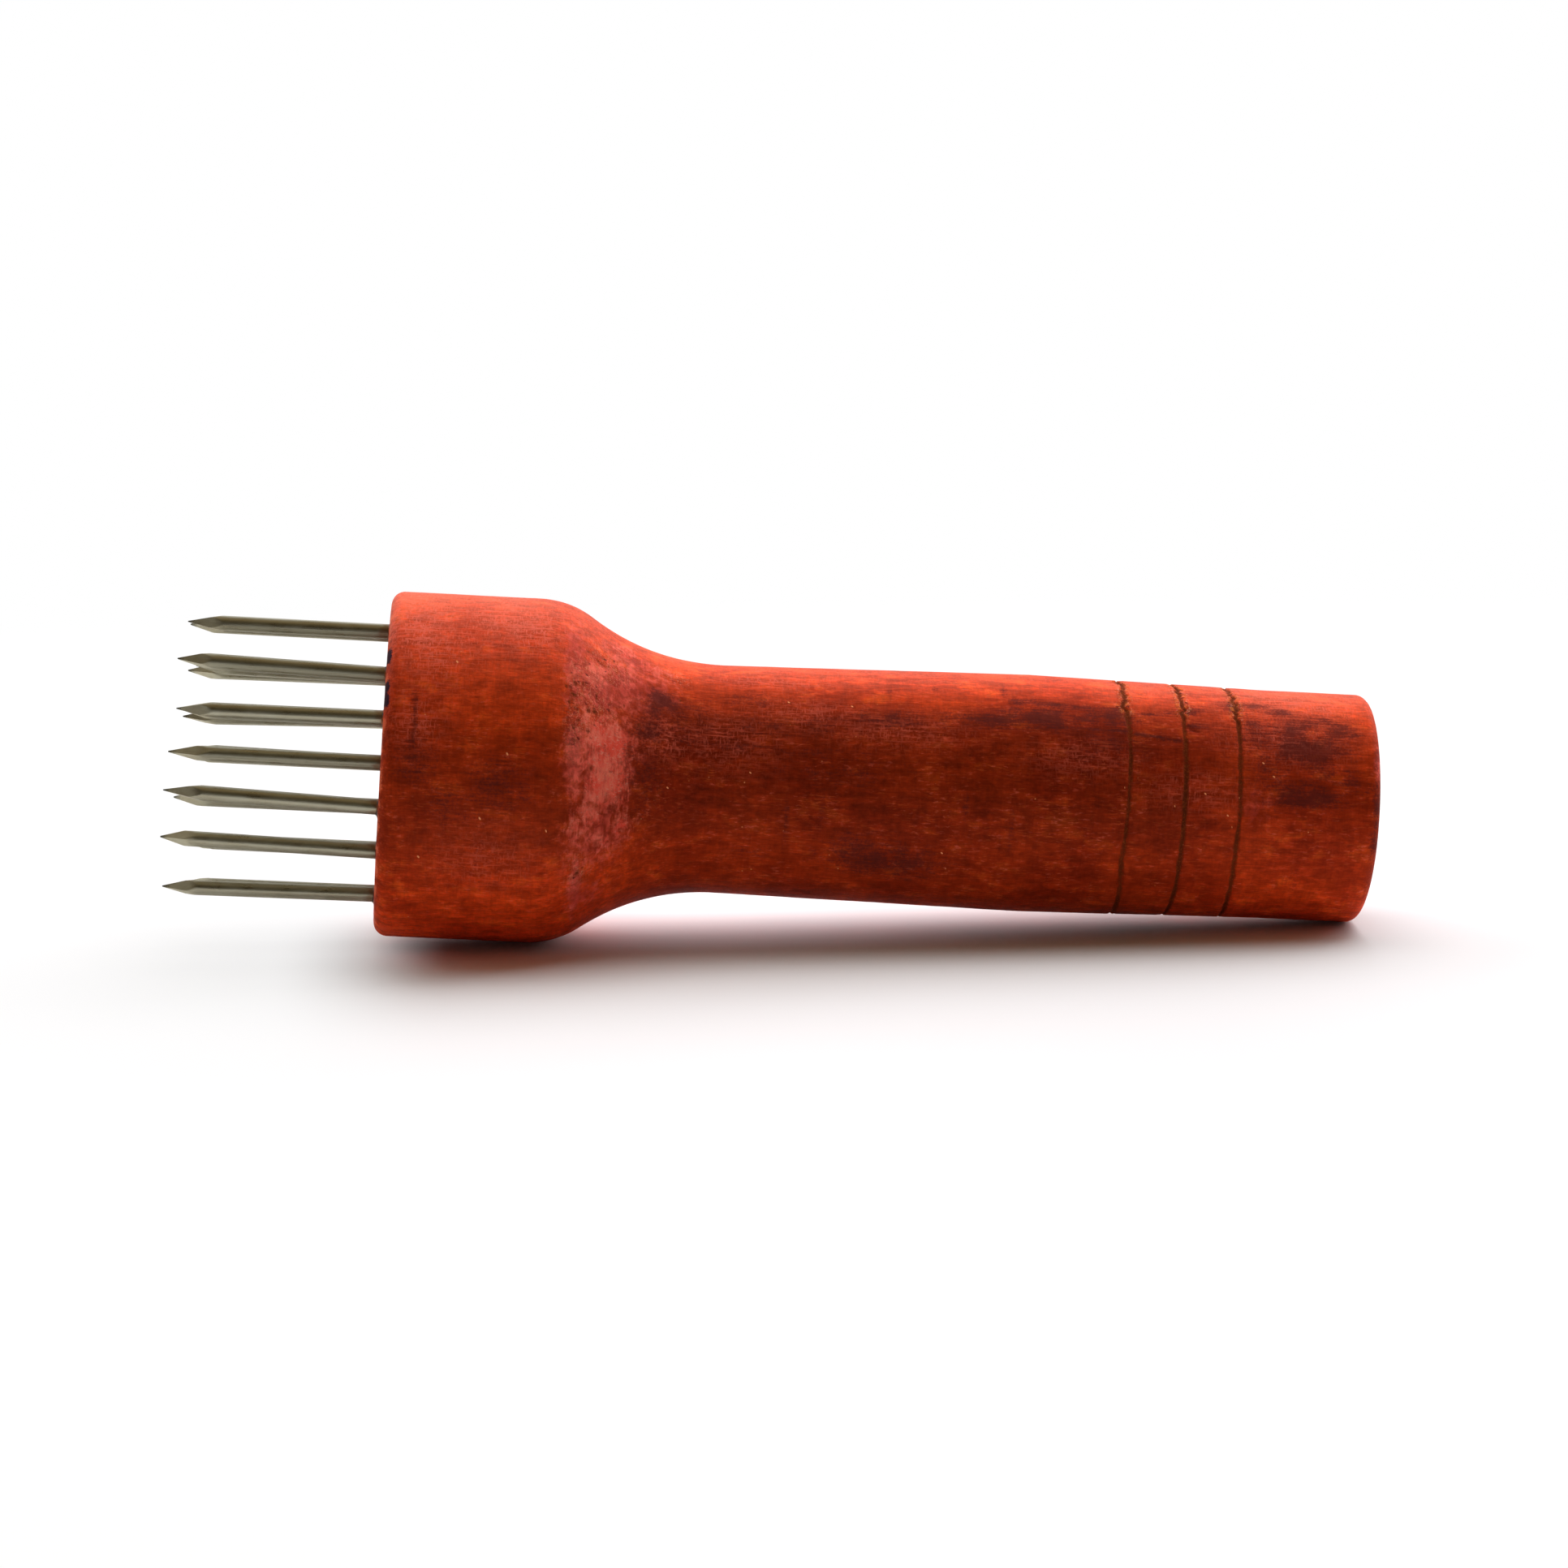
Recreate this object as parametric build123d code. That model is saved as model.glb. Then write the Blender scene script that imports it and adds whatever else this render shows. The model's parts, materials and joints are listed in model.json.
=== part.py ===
from build123d import *
import os
from math import acos, asin, atan2, cos, degrees, hypot, radians, sin, tan

# A needle meat tenderizer: steel needles stand out of the end grain of a turned
# wooden handle. It lies on its side as it would on a worktop. Sizes are in
# millimetres and angles in degrees.
#
# The tool is built about its own axis first: +Z runs from the head's face to the
# butt, +X is the side that ends up on top and +Y the side that ends up in front.

# Handle: a cylindrical head, a rounded shoulder that runs into a hollow, a neck, a
# grip that tapers up to a slight belly and down again, and a cylindrical butt. The
# edges of head and butt are eased with a few narrow flats, close to a round.
HANDLE_LENGTH = 129.0
HEAD_DIAMETER = 45.0
HEAD_BARREL = 19.5
HEAD_EDGE_RADIUS = 1.8
SHOULDER_RADIUS = 12.3
HOLLOW_RADIUS = 30.0
NECK_DIAMETER = 29.9
BELLY_RISE = 0.65
BELLY_FROM_BUTT = 45.0
BUTT_FALL = 0.55
BUTT_BARREL = 13.5
BUTT_EDGE_RADIUS = 1.6
EDGE_FLATS = 2

# Three V grooves scribed round the grip, by their distance from the butt.
GROOVES_FROM_BUTT = [33.0, 25.8, 18.6]
GROOVE_WIDTH = 0.6
GROOVE_DEPTH = 0.35

# Needles: pointed wire, glued into blind holes that follow each needle's lean.
NEEDLE_DIAMETER = 2.0
NEEDLE_REACH = 27.0
NEEDLE_SEAT = 20.0
NEEDLE_POINT = 3.8
NEEDLE_TIP_WIDTH = 0.12
GLUE_FILM = 0.03

# The needle field: a square grid of five by five without its corners, set cornerwise
# in the head, which makes seven rows. The margin runs from the head's side to the
# middle of the outermost needles.
FIELD_MARGIN = 4.6
FIELD_TURN = 10.0

# The needles were pressed in by hand. Rows run from the upper side of the field to
# the lower one, and each row from its front needle to its back one. Each needle has
# its lean upwards and the length by which it stands out more than NEEDLE_REACH.
HAND_SET = [
    [(0.2, -1.3), (0.2, -1.0)],
    [(1.7, -0.5), (0.6, -2.3), (-0.4, -0.6)],
    [(0.0, -1.0), (0.0, -1.2), (-1.5, -0.5), (-0.4, -1.5)],
    [(0.4, 0.1), (1.0, -1.0), (0.2, -0.8)],
    [(2.0, 0.2), (0.1, -0.5), (0.0, -0.6), (0.0, -0.5)],
    [(1.3, 0.6), (0.3, -1.1), (0.0, -0.6)],
    [(-0.3, 0.4), (-0.2, -0.7)],
]
SIDE_LEAN = 0.7
FACET_STEP = 37.0


def grip_radii():
    """The radii of the belly and the butt, which follow from the neck."""
    belly = NECK_DIAMETER / 2 + BELLY_RISE
    return belly, belly - BUTT_FALL


def eased_edge(centre, radius, start_angle):
    """The flats of one eased edge, with their corners on a quarter of a circle."""
    corners = []
    for step in range(EDGE_FLATS + 1):
        angle = radians(start_angle + 90 * step / EDGE_FLATS)
        corners.append(Vector(*centre) + Vector(cos(angle), sin(angle)) * radius)
    return Polyline(*corners).edges()


def handle_outline():
    """The edges of the turned half outline, radius across and axis upwards."""
    head = HEAD_DIAMETER / 2
    neck = NECK_DIAMETER / 2
    belly, butt = grip_radii()

    # The shoulder turns away from the axis's direction and the hollow turns back again.
    turn = acos(1 - (head - neck) / (SHOULDER_RADIUS + HOLLOW_RADIUS))
    neck_height = HEAD_BARREL + (SHOULDER_RADIUS + HOLLOW_RADIUS) * sin(turn)

    # The rise is the straight line from the belly that touches the hollow's circle.
    rise_length = HANDLE_LENGTH - BELLY_FROM_BUTT - neck_height
    to_belly = hypot(rise_length, HOLLOW_RADIUS - BELLY_RISE)
    rise_turn = asin(HOLLOW_RADIUS / to_belly) - atan2(HOLLOW_RADIUS - BELLY_RISE, rise_length)
    rise_direction = Vector(sin(rise_turn), cos(rise_turn))

    face = Line((0, 0), (head - HEAD_EDGE_RADIUS, 0))
    face_edge = eased_edge((head - HEAD_EDGE_RADIUS, HEAD_EDGE_RADIUS), HEAD_EDGE_RADIUS, -90)
    barrel = Line((head, HEAD_EDGE_RADIUS), (head, HEAD_BARREL))
    shoulder = JernArc(barrel @ 1, (0, 1), SHOULDER_RADIUS, degrees(turn))

    # The hollow is one shallow curve that follows its circle closely: its control point
    # is where the directions at its two ends meet.
    reach = HOLLOW_RADIUS * tan((turn + rise_turn) / 2)
    meeting = shoulder @ 1 + (shoulder % 1) * reach
    hollow = Bezier(shoulder @ 1, meeting, meeting + rise_direction * reach)

    rise = Line(hollow @ 1, (belly, HANDLE_LENGTH - BELLY_FROM_BUTT))
    fall = Line(rise @ 1, (butt, HANDLE_LENGTH - BUTT_BARREL))
    butt_end = HANDLE_LENGTH - BUTT_EDGE_RADIUS
    butt_barrel = Line(fall @ 1, (butt, butt_end))
    butt_edge = eased_edge((butt - BUTT_EDGE_RADIUS, butt_end), BUTT_EDGE_RADIUS, 0)
    butt_face = Line((butt - BUTT_EDGE_RADIUS, HANDLE_LENGTH), (0, HANDLE_LENGTH))
    axis = Line(butt_face @ 1, face @ 0)
    grip = [rise, fall, butt_barrel]
    return [face, *face_edge, barrel, shoulder, hollow, *grip, *butt_edge, butt_face, axis]


def turned(face):
    """Turn a face drawn with its radius across and the tool's axis upwards."""
    return revolve(Plane.XZ * face, Axis.Z)


def groove_cutter(outline, from_butt):
    """A V-section ring that scribes one groove."""
    height = HANDLE_LENGTH - from_butt
    level = Axis((0, height, 0), (1, 0, 0))
    radius = max(p.X for edge in outline for p in edge.find_intersection_points(level))
    # The V is drawn twice as deep as the groove, and its outer half is in the open.
    section = Polyline(
        (radius - GROOVE_DEPTH, height),
        (radius + GROOVE_DEPTH, height - GROOVE_WIDTH),
        (radius + GROOVE_DEPTH, height + GROOVE_WIDTH),
        close=True,
    )
    return turned(make_face(section))


def needle_seats():
    """The place of each needle's root on the head's face, with how it was set."""
    turn = radians(FIELD_TURN)
    upwards = Vector(cos(turn), -sin(turn), 0)
    forwards = Vector(sin(turn), cos(turn), 0)
    middle_row = (len(HAND_SET) - 1) / 2
    first_row_end = len(HAND_SET[0]) - 1
    row_step = (HEAD_DIAMETER / 2 - FIELD_MARGIN) / hypot(middle_row, first_row_end)
    seats = []
    for row, needles in enumerate(HAND_SET):
        for place, (lean, extra) in enumerate(needles):
            above = (middle_row - row) * row_step
            ahead = (len(needles) - 1 - 2 * place) * row_step
            side = SIDE_LEAN * sin(len(seats) * 2.4)
            direction = Vector(0, 0, 1) - upwards * tan(radians(lean)) - forwards * tan(radians(side))
            root = upwards * above + forwards * ahead
            frame = Plane(origin=root, x_dir=upwards, z_dir=direction)
            seat = frame.location * Rot(0, 0, FACET_STEP * len(seats))
            seats.append((seat, NEEDLE_REACH + extra))
    return seats


def needle(reach):
    """One needle: its root at the origin, its four-faced point towards -Z."""
    radius = NEEDLE_DIAMETER / 2
    half_bar = NEEDLE_DIAMETER
    tip = NEEDLE_TIP_WIDTH / 2
    bar_point = NEEDLE_POINT * (half_bar - tip) / (radius - tip)
    side_view = Polyline(
        (-tip, -reach),
        (tip, -reach),
        (half_bar, bar_point - reach),
        (half_bar, NEEDLE_SEAT),
        (-half_bar, NEEDLE_SEAT),
        (-half_bar, bar_point - reach),
        close=True,
    )
    slab = extrude(Plane.XZ * make_face(side_view), half_bar, both=True)
    pointed_bar = slab & Rot(0, 0, 90) * slab
    wire = Pos(0, 0, -reach) * extrude(Circle(radius), reach + NEEDLE_SEAT)
    return wire & pointed_bar


def needle_hole():
    """The blind hole for one needle, cut from just outside the head's face."""
    radius = NEEDLE_DIAMETER / 2 + GLUE_FILM
    return Pos(0, 0, -radius) * extrude(Circle(radius), radius + NEEDLE_SEAT)


def handle(seats):
    """The turned handle with its grooves and the needles' holes."""
    outline = handle_outline()
    body = turned(make_face(Curve() + outline))
    grooves = [groove_cutter(outline, from_butt) for from_butt in GROOVES_FROM_BUTT]
    holes = [seat * needle_hole() for seat, reach in seats]
    return body - grooves - holes


def lying_tilt():
    """The axis's slope on the worktop, which touches the shoulder's arc and the corner
    where the butt's barrel meets its eased edge."""
    along = HANDLE_LENGTH - BUTT_EDGE_RADIUS - HEAD_BARREL
    shoulder_centre = HEAD_DIAMETER / 2 - SHOULDER_RADIUS
    belly, butt = grip_radii()
    across = shoulder_centre - butt
    return atan2(across, along) + asin(SHOULDER_RADIUS / hypot(along, across))


def laid_down(solids):
    """Lay the tool on the worktop, head to -X, with the origin under its middle."""
    tilt = lying_tilt()
    lying = Plane(origin=(0, 0, 0), x_dir=(sin(tilt), 0, cos(tilt)), z_dir=(cos(tilt), 0, -sin(tilt)))
    laid = {name: lying.location * solid for name, solid in solids.items()}
    box = Compound(children=[Compound([solid]) for solid in laid.values()]).bounding_box()
    middle = box.center()
    return {name: Pos(-middle.X, -middle.Y, -box.min.Z) * solid for name, solid in laid.items()}


def tenderizer():
    """Every piece of the tool by name."""
    seats = needle_seats()
    solids = {"handle": handle(seats)}
    for number, (seat, reach) in enumerate(seats, start=1):
        solids[f"needle_{number:02d}"] = seat * needle(reach)
    return laid_down(solids)


os.makedirs("parts", exist_ok=True)
for name, solid in tenderizer().items():
    export_step(solid, f"parts/{name}.step")
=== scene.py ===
import json
from functools import partialmethod
from math import acos, asin, atan2, cos, hypot, pi, radians, sin, tan
import bmesh
import bpy
import numpy as np
from mathutils import Matrix, Vector
from mathutils.geometry import delaunay_2d_cdt


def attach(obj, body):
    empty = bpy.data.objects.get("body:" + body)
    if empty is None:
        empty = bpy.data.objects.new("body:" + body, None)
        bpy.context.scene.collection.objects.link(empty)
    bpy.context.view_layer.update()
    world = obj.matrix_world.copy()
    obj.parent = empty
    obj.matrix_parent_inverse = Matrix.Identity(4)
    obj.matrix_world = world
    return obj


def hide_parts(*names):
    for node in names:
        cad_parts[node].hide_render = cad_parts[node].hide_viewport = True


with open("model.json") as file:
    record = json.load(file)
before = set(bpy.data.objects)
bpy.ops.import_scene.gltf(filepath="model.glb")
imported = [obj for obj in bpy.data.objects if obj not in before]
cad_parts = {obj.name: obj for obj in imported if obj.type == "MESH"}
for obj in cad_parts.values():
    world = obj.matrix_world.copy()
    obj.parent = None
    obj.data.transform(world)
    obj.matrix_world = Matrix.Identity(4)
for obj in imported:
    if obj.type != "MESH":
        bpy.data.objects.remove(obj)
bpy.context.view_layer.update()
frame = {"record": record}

MM = 0.001
SEED = 21

# ---------- camera, fitted to the outline
CAMERA_TARGET = Vector((1.8, 0.0, 19.92)) * MM
CAMERA_DEGREES = (-3.2727, 10.0, -0.684)  # azimuth, elevation and roll
CAMERA_DISTANCE = 614.86 * MM
CAMERA_LENS = 107.64

# ---------- sizes as in the CAD source, in millimetres and degrees
LENGTH = 129.0
HEAD_DIAMETER = 45.0
HEAD_BARREL = 19.5
HEAD_EDGE_RADIUS = 1.8
SHOULDER_RADIUS = 12.3
HOLLOW_RADIUS = 30.0
NECK_DIAMETER = 29.9
BELLY_RISE = 0.65
BELLY_FROM_BUTT = 45.0
BUTT_FALL = 0.55
BUTT_BARREL = 13.5
BUTT_EDGE_RADIUS = 1.6
GROOVES_FROM_BUTT = [33.0, 25.8, 18.6]
GROOVE_DEPTH = 0.35
NEEDLE_DIAMETER = 2.0
NEEDLE_REACH = 27.0
NEEDLE_SEAT = 20.0
NEEDLE_TIP_WIDTH = 0.12
GLUE_FILM = 0.03
FIELD_MARGIN = 4.6
FIELD_TURN = 10.0
# Each row's needles: lean from the tool's axis, and reach over or under the usual one.
HAND_SET = [
    [(0.2, -1.3), (0.2, -1.0)],
    [(1.7, -0.5), (0.6, -2.3), (-0.4, -0.6)],
    [(0.0, -1.0), (0.0, -1.2), (-1.5, -0.5), (-0.4, -1.5)],
    [(0.4, 0.1), (1.0, -1.0), (0.2, -0.8)],
    [(2.0, 0.2), (0.1, -0.5), (0.0, -0.6), (0.0, -0.5)],
    [(1.3, 0.6), (0.3, -1.1), (0.0, -0.6)],
    [(-0.3, 0.4), (-0.2, -0.7)],
]
SIDE_LEAN = 0.7
SIDE_LEAN_STEP = 2.4  # radians of its wave from one needle to the next
FACET_STEP = 37.0

# The tool's own frame: its axis runs from the head's face to the butt, degrees are
# counted from the upper side over the front. It is found from the record's mount.
butt_mount = next(m for m in frame["record"]["mounts"] if m["name"] == "butt_face")
AXIS = Vector(butt_mount["axis"]).normalized()
HEAD_CENTRE = Vector(butt_mount["pos_m"]) - AXIS * LENGTH * MM
UP_SIDE = Vector((-AXIS.z, 0.0, AXIS.x))
FRONT_SIDE = Vector((0.0, -1.0, 0.0))

# ---------- how the wood is worked and worn, and where light and shade are painted on it
# How each groove wanders: degrees round, and millimetres off its place towards the butt.
GROOVE_WANDER = [
    [(0, -0.45), (30, -0.34), (46, 0.14), (71, 0.07), (95, -0.12), (112, -0.3), (141, 0.3),
     (200, 0.1), (270, -0.2), (330, -0.3)],
    [(0, -0.39), (33, 0.05), (53, 0.07), (70, 0.15), (90, 0.08), (111, 0.08), (149, 0.07),
     (215, -0.15), (290, 0.2), (335, -0.2)],
    [(0, -0.42), (31, 0.05), (64, 0.03), (84, 0.08), (110, -0.05), (138, 0.08), (190, 0.2),
     (260, -0.1), (325, -0.25)],
]
# Where the grooving tool tore the grain: middle and half width in degrees.
TORN_SIDES = [(0.0, 36.0), (188.0, 24.0)]

# How strongly the wood shows its colour: degrees round, and factors at head, grip and butt.
# Partly the wood's darkening where it is handled, and partly painted light: painted shade on
# the front side, painted light along the top and on the lower front.
TONE_AND_SHADE_ROUND = [
    (0, 1.15, 1.15, 1.15), (17, 1.2, 1.22, 1.2), (26, 1.18, 1.06, 1.08), (34, 1.14, 0.76, 0.9),
    (41, 1, 0.63, 0.82), (50, 0.86, 0.42, 0.73), (62, 0.88, 0.43, 0.68), (72, 0.66, 0.46, 0.65),
    (82, 0.62, 0.46, 0.66), (96, 0.55, 0.46, 0.68), (106, 0.56, 0.54, 0.74),
    (117, 0.84, 0.56, 0.84), (130, 1, 0.58, 0.96), (140, 1.06, 0.6, 1.05),
    (150, 1.2, 0.64, 1.12), (180, 1, 0.7, 1), (225, 0.75, 0.55, 0.75), (270, 0.85, 0.6, 0.8),
    (320, 1, 0.85, 0.95),
]

# Spots: millimetres from the head's face, degrees round, half sizes and strength.
STAIN_SPOTS = [
    (35.4, 43, 2.4, 6, 0.95), (34.2, 49, 2, 6, 0.8), (38.5, 45, 2.8, 8, 0.5),
    (33.6, 60, 2, 7, 0.75), (33.8, 78, 2.4, 17, 0.55), (39.5, 53, 3.6, 8, 0.45),
    (66, 119, 6.4, 10, 1), (62, 113, 5, 10, 0.75), (70.4, 122, 3.6, 6, 0.5), (56, 116, 1.8, 4, 0.6),
    (113.5, 36, 3.4, 7, 0.65), (117.4, 39, 4.6, 9, 0.95), (119.1, 51, 5.2, 10, 1),
    (122.4, 37, 3.4, 8, 0.95), (121.2, 59, 3.2, 7, 0.7), (118.4, 75, 5.2, 7, 0.85),
    (114, 60, 4.4, 12, 0.5), (124.6, 67, 3, 8, 0.5), (109, 45, 2.6, 8, 0.4),
    (116.2, 46, 8, 15, 0.66), (112.6, 62, 3.6, 10, 0.42), (4.1, 66, 0.4, 14, 0.6),
    (8.4, 92, 0.35, 11, 0.5), (12.6, 106, 0.35, 12, 0.35), (52, 102, 0.4, 14, 0.5),
    (56.5, 94, 0.4, 13, 0.4), (75, 92, 0.4, 15, 0.4), (81, 100, 0.4, 12, 0.4),
    (65, 24, 0.4, 8, 0.5), (71, 22, 0.4, 8, 0.5), (80, 21, 0.4, 8, 0.5), (118.6, 124, 0.3, 12, 0.5),
    (15.2, 85, 4, 8, 0.5), (9.5, 92, 4, 7, 0.45), (4.4, 80, 2.6, 9, 0.5), (47, 118, 2.5, 5, 0.5),
    (24, 66, 1, 14, 0.5), (128.5, 88, 0.7, 34, 0.8), (48, 36, 6, 5, 0.5), (50, 52, 8, 8, 0.45),
    (66, 45, 8, 5, 0.6), (78, 44, 6, 4, 0.8), (86, 41, 8, 6, 0.9), (93, 37, 5, 5, 0.8),
    (94, 56, 5, 10, 0.4), (104.6, 30, 1.4, 4, 0.9), (109.6, 25, 1.6, 4, 1),
    (112.8, 23, 2.4, 4, 0.9), (116, 27, 2.6, 4, 0.8), (105.2, 41, 1.6, 3, 0.9),
    (60, 74, 9, 9, 0.35), (57, 215, 7, 16, 0.6), (91, 250, 9, 12, 0.7), (119, 300, 5, 18, 0.6),
    (36, 285, 4, 14, 0.6), (12, 240, 6, 14, 0.5), (16, 325, 4, 10, 0.5), (76, 325, 10, 9, 0.6),
    (101, 170, 6, 10, 0.6), (40, 165, 5, 10, 0.6),
]
# Streaks: from and to (millimetres, degrees), half width in degrees and strength.
STAIN_STREAKS = [
    (84, 46, 96.4, 46, 1.4, 0.7), (80, 31, 96, 33, 2.6, 0.8), (96.4, 47, 103.2, 50, 1.3, 1),
    (96.4, 35, 103, 32, 2.4, 0.6), (103.4, 30, 110.9, 27, 3.6, 0.65), (33, 62, 60, 66, 3, 0.35),
    (60, 232, 100, 238, 3, 0.7), (45, 300, 90, 296, 3.5, 0.6),
]
SCUFF_SPOTS = [
    (27.6, 66, 2.1, 8, 1), (29.6, 68, 2.2, 9, 1), (28.4, 76, 2.6, 8, 0.9), (27.8, 85, 1.9, 8, 1),
    (29.8, 83, 2.1, 9, 1), (26.7, 95, 1.5, 5, 0.85), (25, 99, 1.5, 6, 0.7), (31, 101, 1.5, 6, 0.75),
    (28.4, 107, 1.3, 5, 0.7), (30.6, 18, 1.6, 6, 0.85), (34.6, 23, 2.6, 4, 0.6),
    (26.6, 41, 1.5, 4, 0.6), (25.8, 60, 1, 6, 0.7), (28, 195, 2.4, 20, 0.9),
    (28.5, 300, 2.4, 16, 0.95), (122, 226, 3.4, 10, 0.6),
]
# Dull, rosy wood where the stain has been rubbed thin, and at 56 degrees on the butt's rim
# a painted highlight.
RUBBED_AND_RIM_LIT_SPOTS = [
    (24.2, 40, 1.5, 20, 0.9), (24.6, 74, 1.5, 16, 0.9), (27, 46, 3.4, 13, 1),
    (30.4, 40, 3.6, 13, 0.85), (31.4, 23, 3.6, 9, 0.8), (35.5, 30, 3.4, 8, 0.55),
    (25.4, 124, 0.9, 16, 0.95), (27.6, 106, 3.8, 12, 0.65), (28.4, 76, 3.4, 22, 0.9),
    (27, 131, 2.4, 8, 0.5), (28, 200, 3.4, 34, 0.9), (28, 300, 3.6, 30, 0.95),
    (128.6, 56, 0.5, 9, 1), (34, 40, 4, 8, 0.5), (60, 264, 7, 12, 0.5), (122, 226, 5, 16, 0.7),
    (9, 292, 6, 14, 0.55), (112.6, 80, 2.4, 8, 0.4),
]
# Where pink threads cross, along the grain and round the tool.
HATCH_SPOTS = [
    (4.4, 31, 3.4, 11, 1), (18.6, 28, 3.4, 9, 1), (4.2, 66, 3.2, 8, 0.7), (10.5, 36, 4, 8, 0.45),
    (17, 24, 6, 9, 0.7), (6, 40, 4, 12, 0.7), (117, 46, 7, 12, 0.6), (36, 62, 4, 10, 0.6),
    (54, 44, 7, 9, 0.5), (66, 52, 8, 8, 0.45), (90, 62, 6, 8, 0.4), (14, 112, 6, 10, 0.4),
    (105, 75, 6, 9, 0.4), (44, 60, 6, 14, 0.5), (9, 205, 5, 16, 0.7), (75, 270, 12, 14, 0.6),
    (12, 340, 6, 14, 0.6), (50, 22, 7, 6, 0.5), (121, 22, 5, 7, 0.5),
]
TORN_SPOTS = [
    (25.4, 46, 2, 9, 1), (27.2, 56, 1.8, 7, 0.9), (24.4, 64, 1.2, 8, 0.8), (28.6, 34, 2.4, 8, 0.8),
    (29.4, 82, 1.6, 8, 0.35), (25.6, 118, 1.2, 6, 0.8), (27, 200, 3.2, 22, 0.9),
    (26, 312, 3.4, 20, 0.9), (37.6, 25, 1.6, 5, 0.6),
]
PIT_SPOTS = [
    (24.2, 48.5, 0.26, 1.2, 1), (25.3, 47.9, 0.22, 1, 1), (24.1, 53, 0.34, 0.9, 1),
    (23.5, 56.5, 0.3, 1, 0.9), (26.1, 57.5, 0.3, 1, 1), (26.9, 57.3, 0.34, 1.1, 1),
    (24.9, 61.9, 0.22, 1, 0.9), (26.1, 65.3, 0.26, 0.9, 1), (24.2, 64.8, 0.3, 1, 1),
    (26.7, 78.3, 0.24, 0.9, 0.9), (30.6, 51, 0.22, 1, 0.8), (38, 40.5, 0.3, 1, 0.9),
    (25.6, 118.1, 0.3, 1.4, 1), (17.9, 79.9, 0.2, 0.9, 0.7), (25.8, 31.6, 0.26, 0.9, 0.9),
    (27.1, 34, 0.24, 0.8, 0.9), (32.6, 58, 0.2, 0.9, 0.8), (23.1, 50.3, 0.2, 1.2, 0.8),
    (28, 196, 0.3, 1.2, 1), (26.4, 304, 0.3, 1.4, 1),
]
# Where a pale pink sheen is painted on the upper side.
SHEEN_SPOTS = [
    (4, 8, 9, 26, 1), (16, 10, 8, 24, 1), (25, 12, 5, 18, 0.6), (60, 8, 30, 16, 0.45),
    (118, 10, 12, 18, 0.9), (100, 10, 8, 16, 0.6),
]
INK_SPOTS = [
    (0.2, 41, 0.46, 3.6, 1), (0.2, 53.5, 0.4, 2.4, 1), (0.2, 58.5, 0.46, 3, 1),
    (0.4, 252, 0.6, 7, 0.8),
]
# Short dents: from and to (millimetres, degrees), half width and depth.
DENTS = [
    (96.5, 50, 102.4, 50.5, 0.22, 0.12), (103.5, 41.5, 105, 44.5, 0.35, 0.22),
    (117.9, 108, 118.5, 135, 0.2, 0.07), (47, 116, 48.6, 117.5, 0.35, 0.12),
    (78, 205, 86, 209, 0.25, 0.12), (12, 262, 15, 270, 0.3, 0.15),
]
# Pale specks of dust and filler: millimetres and degrees.
SPECKS = [
    (110.3, 78), (109, 87), (102, 83), (72.4, 113), (109.6, 92), (95.4, 75), (106, 77), (113.4, 60),
    (114.6, 66), (12.8, 97), (5.4, 111), (36.7, 86), (47, 76), (60, 38), (52, 37), (98, 205),
    (58, 190), (84, 284), (20, 221), (120, 255), (43, 331), (16, 75), (21.2, 100), (9, 44),
]


def add_object(name, data):
    """A new object in the scene, with its data."""
    made = bpy.data.objects.new(name, data)
    bpy.context.scene.collection.objects.link(made)
    return made


def make_piece(name, points, faces, material, marks=None, sharp_degrees=None, own_places=None):
    """A mesh piece from points of the tool's frame, in millimetres, that rides on the one body."""
    axes = np.array([UP_SIDE[:], FRONT_SIDE[:], AXIS[:]])
    shared = np.array(HEAD_CENTRE[:]) + np.asarray(points) @ axes * MM
    mesh = bpy.data.meshes.new(name)
    mesh.from_pydata(shared.tolist(), [], faces)
    mesh.polygons.foreach_set("use_smooth", [True] * len(mesh.polygons))
    places = np.asarray(points if own_places is None else own_places, np.float32)
    place = mesh.attributes.new("place", "FLOAT_VECTOR", "POINT")
    place.data.foreach_set("vector", places.ravel())
    for key, values in (marks or {}).items():
        mark = mesh.attributes.new(key, "FLOAT", "POINT")
        mark.data.foreach_set("value", np.asarray(values, np.float32).ravel())
    if sharp_degrees:
        solid = bmesh.new()
        solid.from_mesh(mesh)
        for edge in solid.edges:
            edge.smooth = edge.calc_face_angle(0.0) < radians(sharp_degrees)
        solid.to_mesh(mesh)
        solid.free()
    mesh.materials.append(material)
    piece = add_object(name, mesh)
    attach(piece, "root")
    return piece


def ring_faces(index):
    """Faces between closed rings of points; each row of the index is one ring."""
    ahead = np.roll(index, -1, axis=1)
    corners = [index[:-1], ahead[:-1], ahead[1:], index[1:]]
    return np.stack(corners, axis=-1).reshape(-1, 4).tolist()


def round_axis(turns, first, second):
    """Unit steps away from an axis, one for each turn."""
    return np.cos(turns)[:, None] * first + np.sin(turns)[:, None] * second


# ---------- noise and marks
SPOT_SOFTNESS = 0.8


def ramp(value, low=0.0, high=1.0):
    """0 below low, 1 above high and smooth between."""
    share = np.clip((value - low) / (high - low), 0.0, 1.0)
    return share * share * (3.0 - 2.0 * share)


def blend(first, second, share):
    """All of the first at 0 and of the second at 1."""
    return first * (1 - share) + second * share


def turned_by(degrees, middle):
    """How far round from the middle, from -180 to 180."""
    return (degrees - middle + 180.0) % 360.0 - 180.0


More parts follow.
